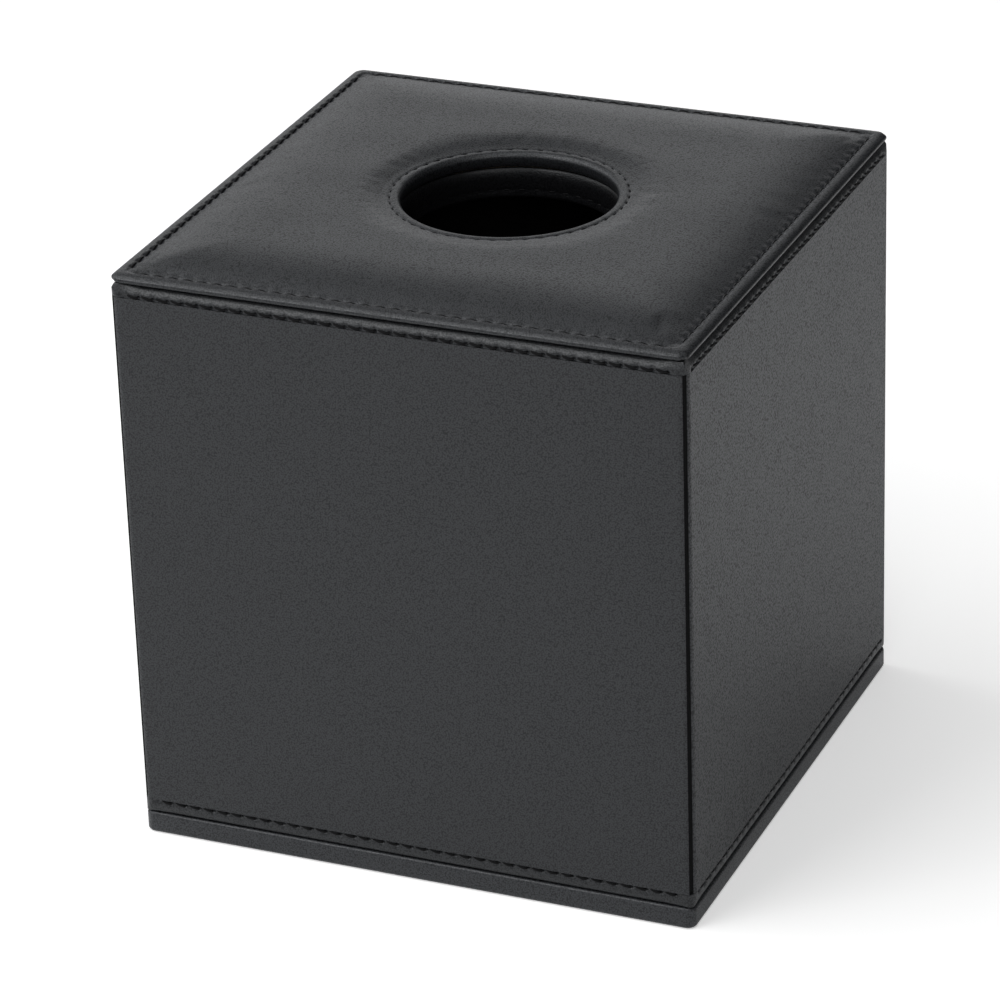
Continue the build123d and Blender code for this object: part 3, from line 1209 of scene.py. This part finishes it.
@dataclass
class OpeningCollar:
    """Leather sleeve inside the opening, with a rolled upper edge and a stitch row of its own."""

    sizes: Sizes
    inner: float = 23.7 * MM
    thickness: float = 1.1 * MM
    roll: float = 0.55 * MM
    crown_height: float = 2.8 * MM
    row_height: float = 127.0 * MM
    row_count: int = 44
    columns: int = 192
    bore_rows: int = 19
    roll_rows: int = 14
    top_land: float = 0.05 * MM
    row_sink: float = 0.02 * MM

    def press(self) -> SeamPress:
        """How the collar's stitches press the leather."""
        return SeamPress(2 * math.pi * self.inner / self.row_count, self.row_count * 3,
                         groove=0.06 * MM, hole=0.1 * MM, pucker=0.02 * MM)

    def build(self, finishes: Finishes) -> bpy.types.Object:
        """Builds the collar.

        Args:
            finishes: The cover's finishes.

        Returns:
            The collar.
        """
        low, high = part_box("opening_collar")
        angle = np.linspace(0, 2 * math.pi, self.columns, endpoint=False)
        rim = np.column_stack([np.cos(angle), np.sin(angle)])
        skin, press = RingSkin(), self.press()
        for inset, z in self.profile(low.z, high.z):
            sunk = np.zeros(self.columns)
            if abs(inset) < 1e-9:
                sunk = press.sink(angle * self.inner, np.full(self.columns, z - self.row_height))
            skin.add_row(lifted(rim * (self.inner + inset + sunk)[:, None], z))
        skin.close()
        collar = skin.build("collar_sleeve", 60.0)
        return settle(collar, finishes.collar, COVER, ["opening_collar"])

    def profile(self, low: float, high: float) -> list:
        """Section of the sleeve, as distance out from its bore against height.

        Args:
            low: Height of its lower edge.
            high: Height of its upper edge.

        Returns:
            Distance and height of each row.
        """
        roll, thick = self.roll, self.thickness
        rows = arc((roll, low + roll), roll, 270, 180, 4)
        for z in np.linspace(low + roll, high - self.crown_height, self.bore_rows)[1:-1]:
            rows.append((0.0, float(z)))
        for across, up in arc((1.0, 0.0), 1.0, 180, 90, self.roll_rows):
            rows.append((across * (thick - self.top_land), high - self.crown_height * (1 - up)))
        rows += [(thick, high), (thick, low)]
        return rows

    def rows(self) -> list:
        """The collar's stitch row."""
        radius = self.inner + self.row_sink
        ring, normals, pitch = ring_path(radius, self.row_height, Sense.INWARD, self.row_count)
        return [StitchRow("collar_stitches", ring, normals, pitch, thread=0.17 * MM, rise=0.1 * MM, seed=31)]


@dataclass
class Binding:
    """Leather folded over one end of the walls, sewn through along its outer edge."""

    sizes: Sizes
    loop: PlanLoop
    upper: bool
    upper_roll: float = 2.0 * MM
    fold: float = 0.5
    fold_width: float = 2.5 * MM
    lower_roll: float = 0.7 * MM
    ridge: float = 0.24 * MM
    ridge_insets: tuple = (2.25, 2.45, 4.2, 4.45)
    inner_chamfer: float = 0.3 * MM
    row_gaps: tuple = (0.36, 0.26, 0.16, 0.06, -0.04, -0.14, -0.26, -0.4, -0.55, -0.7)
    row_sink: float = 0.16 * MM
    slant: float = -0.26
    cut_gap: float = 0.5 * MM
    cut_inset: float = 0.75 * MM
    cut_chamfer: tuple = (0.13 * MM, 0.08 * MM)
    roll_angles: tuple = (26, 90, 12)
    lean: float = 0.8
    lean_power: float = 1.3

    @property
    def edge(self) -> float:
        """Height of the folded edge."""
        return self.sizes.wall_top if self.upper else self.sizes.wall_bottom

    @property
    def row(self) -> float:
        """Height of the stitch row."""
        return self.sizes.upper_row if self.upper else self.sizes.lower_row

    def press(self) -> SeamPress:
        """How the stitches press the leather."""
        return SeamPress(self.sizes.pitch, stitch_count(2 * self.sizes.half, self.sizes))

    def profile(self) -> list:
        """Section of the binding as inset and height, counted from the folded edge upwards or downwards."""
        sizes = self.sizes
        up = 1 if self.upper else -1
        leather, inner = sizes.leather, sizes.leather + sizes.board
        reach = abs(self.edge - self.row)
        cut, (slope, rise) = reach + self.cut_gap, self.cut_chamfer
        rows = [(leather, cut), (self.cut_inset, cut), (self.cut_inset - slope, cut - rise)]
        rows += [(None, reach + gap * MM) for gap in self.row_gaps]
        for angle in np.linspace(*self.roll_angles):
            rows.append((None, (reach - 0.1 * MM) * (1 - math.sin(math.radians(angle)))))
        if self.upper:
            depths = (0.0, -self.ridge, -self.ridge, 0.0)
            rows += [(inset * MM, depth) for inset, depth in zip(self.ridge_insets, depths)]
        far = inner + leather
        rows += [(far - self.inner_chamfer, 0.0), (far, self.inner_chamfer), (far, sizes.turn_in)]
        rows += [(inner, sizes.turn_in), (inner, leather), (leather, leather)]
        return [(inset, self.edge - up * depth) for inset, depth in rows]

    def outer_inset(self, height: float) -> float:
        """Inset of the rolled outer face at one height, where it isn't pressed by the stitches."""
        rise = (height - self.row) / (self.edge - self.row)
        rise = min(max(rise, 0.0), 1.0)
        if self.upper:
            straight, round_part = rise ** self.lean_power, 1 - math.sqrt(1 - rise ** 2)
            return self.upper_roll * (self.lean * straight + (1 - self.lean) * round_part)
        return self.lower_roll * (1 - math.sqrt(1 - rise ** 3))

    def filled(self, plan: np.ndarray, inset: float) -> np.ndarray:
        """Plan points of the roll, filled out at the corners where its leather lies double.

        Args:
            plan: Points in plan.
            inset: Their distance in from the wall's face.

        Returns:
            The moved points.
        """
        off = (np.abs(plan[:, 0]) - np.abs(plan[:, 1])) / math.sqrt(2)
        share = np.exp(-(off / self.fold_width) ** 2)
        return plan + np.sign(plan) * (share * inset * self.fold)[:, None]

    def build(self, finishes: Finishes) -> bpy.types.Object:
        """Builds the binding.

        Args:
            finishes: The cover's finishes.

        Returns:
            The binding.
        """
        skin, sizes = RingSkin(), self.sizes
        press = self.press()
        profile = self.profile()
        if self.upper:
            profile = profile[::-1]
        for inset, z in profile:
            if inset is None:
                inset = self.outer_inset(z)
                plan = self.loop.points(inset, max(sizes.corner_radius - 2 * inset, 0.3 * MM))
                across = np.full(len(plan), z - self.row)
                sunk = press.sink(self.loop.along(plan), across)
                plan = self.filled(plan, inset) - self.loop.normals * sunk[:, None]
            else:
                plan = self.loop.points(inset, max(sizes.corner_radius - inset, 0.15 * MM))
            skin.add_row(lifted(plan, z))
        skin.close()
        name = "upper_binding" if self.upper else "lower_binding"
        binding = skin.build(name + "_leather")
        if not self.upper:
            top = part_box("hinge_strip")[1].z + CUT_OVER
            cut_hinge_bay(binding, sizes.half, sizes.wall_bottom - CUT_OVER, top)
        return settle(binding, finishes.hem, COVER, [name])

    def rows(self) -> list:
        """The binding's stitch row."""
        sizes = self.sizes
        reach = sizes.half - self.row_sink
        paths, normals = side_paths(2 * sizes.half, reach, self.row, False, sizes)
        name = "upper" if self.upper else "lower"
        return [StitchRow(name + "_stitches", paths, normals, sizes.pitch, (name + "_thread",),
                          slant=self.slant, seed=41 if self.upper else 43)]


@dataclass
class WallPanels:
    """The four leather wall panels, each rounded in to the seam at its corners."""

    sizes: Sizes
    seam_width: float = 1.1 * MM
    seam_depth: float = 0.46 * MM
    row_gap: float = 0.45 * MM
    seam_ease: float = 0.45
    # How deep into the seam's rounding, and how far past the corner, the painted shade reaches.
    seam_shade_depth: float = 0.3
    seam_shade_room: float = 0.2 * MM
    flat_steps: int = 24
    round_steps: int = 30
    row_count: int = 41
    wave: float = 0.03 * MM
    wave_length: float = 45.0 * MM

    def section(self) -> list:
        """Outer line of half a panel, from its middle to the seam, in the front wall's plan."""
        half, radius = self.sizes.half, self.sizes.corner_radius
        centre = half - radius
        seam = self.seam_width / 2 / radius
        points = [(centre * x, -half) for x in np.linspace(0, 1, self.flat_steps + 1)[:-1]]
        for a in np.linspace(0, math.pi / 4, self.round_steps):
            near = (1 - (math.pi / 4 - a) / seam) / self.seam_ease
            r = radius - self.seam_depth * float(smoothstep(near))
            points.append((centre + r * math.sin(a), -(centre + r * math.cos(a))))
        return points

    def build(self, finishes: Finishes) -> list:
        """Builds the panels.

        Args:
            finishes: The cover's finishes.

        Returns:
            The four panels.
        """
        sizes = self.sizes
        half_line = self.section()
        outer = [(-x, y) for x, y in reversed(half_line)] + half_line[1:]
        corner = sizes.half - sizes.leather
        inner = [(corner, -corner), (-corner, -corner)]
        heights = np.linspace(sizes.lower_row + self.row_gap, sizes.upper_row - self.row_gap, self.row_count)
        panels = []
        for side in Side:
            material = finishes.side_wall if side in (Side.RIGHT, Side.LEFT) else finishes.wall
            panel = self.panel(side, np.array(outer), np.array(inner), heights, material)
            self.paint_seam_shade(panel, finishes.paint)
            panels.append(panel)
        return panels

    def paint_seam_shade(self, panel: bpy.types.Object, paint: bpy.types.Material) -> None:
        """Paints shade on the faces in the corner seams: a dark material where the rounded corners show a
        dark line, in the seam where the panels meet.

        Args:
            panel: The panel.
            paint: The painted shade's finish.
        """
        panel.data.materials.append(paint)
        centre = self.sizes.half - self.sizes.corner_radius
        limit = self.sizes.corner_radius - self.seam_shade_depth * self.seam_depth
        for face in panel.data.polygons:
            x, y = abs(face.center.x), abs(face.center.y)
            if min(x, y) > centre + self.seam_shade_room and math.hypot(x - centre, y - centre) < limit:
                face.material_index = 1

    def panel(self, side: Side, outer: np.ndarray, inner: np.ndarray, heights: np.ndarray,
              material: bpy.types.Material) -> bpy.types.Object:
        """Builds one panel.

        Args:
            side: The wall.
            outer: Outer line in the front wall's plan.
            inner: Corners of the inner face.
            heights: Heights of the rows.
            material: The leather's finish.

        Returns:
            The panel.
        """
        line = np.concatenate([outer, inner])
        inward = np.zeros_like(line)
        edge = outer[:, 0] / (self.sizes.half - self.sizes.corner_radius)
        inward[:len(outer), 1] = np.clip(1 - edge ** 8, 0, 1)
        skin = RingSkin()
        for z in heights:
            wave = Ripple(60 + side.value, self.wave_length).at(line[:, 0], np.full(len(line), z))
            skin.add_row(lifted(line + inward * (wave * self.wave)[:, None], z))
        skin.cap()
        panel = skin.build(side.name.lower() + "_panel")
        panel.data.transform(side.turn())
        return settle(panel, material, COVER, [side.name.lower() + "_leather"])


@dataclass
class BasePlate:
    """Leather wrapped round the base board, with the strip that hinges it to the back wall."""

    sizes: Sizes
    loop: PlanLoop
    edge_roll: float = 0.8 * MM
    inner_roll: float = 0.3 * MM
    middle: float = 50.0 * MM
    strip_columns: int = 376
    strip_rows: int = 33
    strip_chamfer: float = 0.25 * MM
    bend_above: float = 1.6 * MM
    bend_below: float = 1.3 * MM

    def profile(self) -> list:
        """Section of the wrap as inset and height, from the middle of the underside round to the inside."""
        leather, roll, small, top = self.sizes.leather, self.edge_roll, self.inner_roll, self.sizes.base_top
        margin = leather + self.sizes.base_turn_in
        board_top = leather + self.sizes.base_board
        rows = [(self.middle, 0.0), (self.middle / 10, 0.0)]
        rows += arc((roll, roll), roll, 270, 180, 6)
        rows += arc((roll, top - roll), roll, 180, 90, 6)
        rows += arc((margin - small, top - small), small, 90, 0, 3)
        rows += [(margin, board_top), (leather, board_top), (leather, leather), (self.middle, leather)]
        return rows

    def build(self, finishes: Finishes) -> list:
        """Builds the wrap and the hinge strip.

        Args:
            finishes: The cover's finishes.

        Returns:
            The two pieces.
        """
        sizes, skin = self.sizes, RingSkin()
        for inset, z in self.profile():
            skin.add_row(lifted(self.loop.points(inset, max(sizes.corner_radius - inset, 0.2 * MM)), z))
        skin.cap()
        wrap = skin.build("base_wrap")
        cut_hinge_bay(wrap, sizes.half, sizes.leather, sizes.base_top + CUT_OVER)
        settle(wrap, finishes.base, FLAP, ["base_leather"])
        return [wrap, self.strip(finishes.hem)]

    def strip(self, material: bpy.types.Material) -> bpy.types.Object:
        """Builds the hinge strip, finely divided along its length.

        Args:
            material: The leather's finish.

        Returns:
            The strip.
        """
        sizes = self.sizes
        low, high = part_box("hinge_strip")
        columns = np.linspace(low.x, high.x, self.strip_columns)
        press = SeamPress(sizes.pitch, stitch_count(2 * sizes.half, sizes))
        outer = []
        for z in [low.z, *np.linspace(low.z + self.strip_chamfer, high.z, self.strip_rows)]:
            height = np.full(len(columns), z)
            sunk = press.sink(columns, height - sizes.lower_row) + (self.strip_chamfer if z == low.z else 0.0)
            outer.append(np.column_stack([columns, sizes.half - sunk, height]))
        inner = [np.column_stack([row[:, 0], np.full(len(row), low.y), row[:, 2]]) for row in reversed(outer)]
        points = np.array(outer + inner)
        count, wide = points.shape[:2]
        index = np.arange(count * wide).reshape(count, wide)
        faces = []
        for row, following in zip(index, np.roll(index, -1, axis=0)):
            faces += [(row[j + 1], row[j], following[j], following[j + 1]) for j in range(wide - 1)]
        for i in range(count // 2 - 1):
            for column, step in ((0, -1), (wide - 1, 1)):
                end = [index[row, column] for row in (i, i + 1, count - 2 - i, count - 1 - i)]
                faces.append(end[::step])
        strip = mesh_object("hinge_leather", points.reshape(-1, 3), faces)
        dress(strip, material)
        sizes.base_top + self.bend_above
        sizes.base_top - self.bend_below
        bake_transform(strip)
        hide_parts("hinge_strip")
        LOG.info("hinge_leather: bends between %s and %s", COVER, FLAP)
        return strip


@dataclass
class HiddenCore:
    """The boards, linings, foam and magnets, whose shapes come from the frame."""

    def build(self, finishes: Finishes) -> None:
        """Dresses the frame's own nodes.

        Args:
            finishes: The cover's finishes.
        """
        by_ending = {"lining": finishes.velvet, "board": finishes.board, "magnets": finishes.magnet,
                     "foam": finishes.foam, "thread": finishes.thread}
        for name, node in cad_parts.items():
            dress(node, by_ending.get(name.rsplit("_", 1)[-1], finishes.hem))
            LOG.info("%s: dressed as it is", name)


@dataclass
class Softbox:
    """A rectangular lamp that faces a point on the cover."""

    name: str
    place: tuple
    size: tuple
    power: float
    target: tuple = (0.0, 0.0, 0.07)

    def build(self) -> None:
        """Hangs the lamp."""
        lamp = bpy.data.lights.new(self.name, "AREA")
        lamp.shape = "RECTANGLE"
        lamp.size, lamp.size_y = self.size
        lamp.energy = self.power
        thing = bpy.data.objects.new(self.name, lamp)
        thing.location = self.place
        toward = Vector(self.target) - Vector(self.place)
        thing.rotation_euler = toward.to_track_quat("-Z", "Y").to_euler()
        bpy.context.scene.collection.objects.link(thing)


@dataclass
class Studio:
    """White floor and room, soft lamps and the camera at the photograph's angle."""

    bright: float = 1.04
    dark: float = 0.04
    shade_edge: float = 0.03
    shade_width: float = 0.32
    fade: float = 0.35
    fade_edge: float = -0.38
    fade_width: float = 0.25
    horizon: float = 0.2
    horizon_top: float = 0.27
    horizon_ease: float = 0.15
    horizon_start: float = 0.4
    horizon_width: float = 0.3
    floor_grey: float = 0.92
    floor_lift: float = 0.37
    floor_reach: float = 8.0
    floor_drop: float = 0.1 * MM
    levels: tuple = ((0.0, 0.42), (0.2, 0.68), (0.33, 0.82), (0.43, 0.62), (0.55, 0.15), (0.75, 0.12),
                     (0.92, 0.5))
    lamps: tuple = (Softbox("key", (-1.08, -0.22, 1.18), (1.5, 1.5), 12.0),
                    Softbox("overhead", (0.1, -0.1, 1.6), (1.2, 1.2), 4.5),
                    Softbox("fill", (0.7, -1.0, 1.2), (1.3, 1.3), 8.5),
                    Softbox("strip", (-0.5, -0.85, 1.0), (0.65, 0.45), 4.6))
    lens: float = 174.126
    sensor: float = 36.0
    camera_place: tuple = (0.37948, -0.89604, 0.53024)
    camera_right: tuple = (0.92418, 0.38085, -0.02914)
    camera_up: tuple = (-0.14095, 0.41094, 0.90070)
    camera_back: tuple = (0.35500, -0.82830, 0.43346)

    def build(self) -> None:
        """Sets the stage."""
        self.lay_floor()
        self.light_room()
        for lamp in self.lamps:
            lamp.build()
        self.place_camera()
        bpy.context.scene.view_settings.view_transform = "Standard"

    def lay_floor(self) -> None:
        """Lays the floor, which shows white from above, keeps the shadow and isn't there from below."""
        turns = ((-1, -1), (1, -1), (1, 1), (-1, 1))
        corners = np.array([[x * self.floor_reach, y * self.floor_reach, -self.floor_drop] for x, y in turns])
        floor = mesh_object("floor", corners, [(0, 1, 2, 3)])
        material = bpy.data.materials.new("white_floor")
        kit = Shading(material)
        seen = kit.node("ShaderNodeLightPath", {}, {}, "Is Camera Ray")
        glow = kit.blend(seen * self.floor_lift, (0.0, 0.0, 0.0, 1.0), (1.0, 1.0, 1.0, 1.0))
        white = kit.node("ShaderNodeBsdfPrincipled", {}, {
            "Base Color": (self.floor_grey,) * 3 + (1.0,), "Roughness": 0.9, "Specular IOR Level": 0.0,
            "Emission Color": glow, "Emission Strength": 1.0})
        clear = kit.node("ShaderNodeBsdfTransparent", {}, {})
        below = kit.node("ShaderNodeNewGeometry", {}, {}, "Backfacing")
        mixed = kit.node("ShaderNodeMixShader", {}, {0: below, 1: white, 2: clear})
        kit.node("ShaderNodeOutputMaterial", {}, {"Surface": mixed})
        dress(floor, material)

    def light_room(self) -> None:
        """Lights the room, brighter towards the horizon, and shows it white to the camera."""
        world = bpy.data.worlds.new("room")
        bpy.context.scene.world = world
        kit = Shading(world)
        seen = kit.node("ShaderNodeLightPath", {}, {}, "Is Camera Ray")
        direction = kit.node("ShaderNodeTexCoord", {}, {}, "Generated")
        across, away, height = (kit.node("ShaderNodeSeparateXYZ", {}, {0: direction}, axis)
                                for axis in range(3))
        level = kit.node("ShaderNodeValToRGB", {"stops": self.levels}, {0: height})
        leftward = ((self.shade_edge - across) / self.shade_width).clamped()
        eased = leftward * leftward * (3 - 2 * leftward)
        faded = 1 - self.fade * ((self.fade_edge - across) / self.fade_width).clamped()
        low = ((self.horizon_top - height) / self.horizon_ease).clamped()
        behind = ((away - self.horizon_start) / self.horizon_width).clamped()
        horizon = low * behind * self.horizon
        glow = self.dark + eased * (faded * level + horizon) * (self.bright - self.dark)
        strength = seen + (1 - seen) * glow
        shader = kit.node("ShaderNodeBackground", {}, {"Color": (1, 1, 1, 1), "Strength": strength})
        kit.node("ShaderNodeOutputWorld", {}, {"Surface": shader})

    def place_camera(self) -> None:
        """Sets the camera where the photograph's edges put it."""
        camera = bpy.data.cameras.new("camera")
        camera.lens = self.lens
        camera.sensor_width = self.sensor
        camera.clip_end = 50.0
        thing = bpy.data.objects.new("camera", camera)
        turn = Matrix((self.camera_right, self.camera_up, self.camera_back)).transposed().to_4x4()
        thing.matrix_world = Matrix.Translation(self.camera_place) @ turn
        bpy.context.scene.collection.objects.link(thing)
        bpy.context.scene.camera = thing


def main() -> None:
    """Builds the cover's sub-assemblies in order and dresses them."""
    logging.basicConfig(level=logging.INFO, format="%(name)s: %(message)s")
    sizes = Sizes.from_frame()
    finishes = Finishes.build()
    HiddenCore().build(finishes)
    loop = PlanLoop(sizes.half, per_side=416, per_corner=16)
    plain_loop = PlanLoop(sizes.half, per_side=24, per_corner=8)
    top = PaddedTop(sizes, loop)
    top.build(finishes)
    collar = OpeningCollar(sizes)
    collar.build(finishes)
    WallPanels(sizes).build(finishes)
    BasePlate(sizes, plain_loop).build(finishes)
    rows = top.rows() + collar.rows()
    for upper in (True, False):
        binding = Binding(sizes, loop, upper)
        binding.build(finishes)
        rows += binding.rows()
    tree = StitchTree().build()
    for row in rows:
        row.build(tree, finishes.thread)
    Studio().build()


if __name__ == "__main__":
    main()
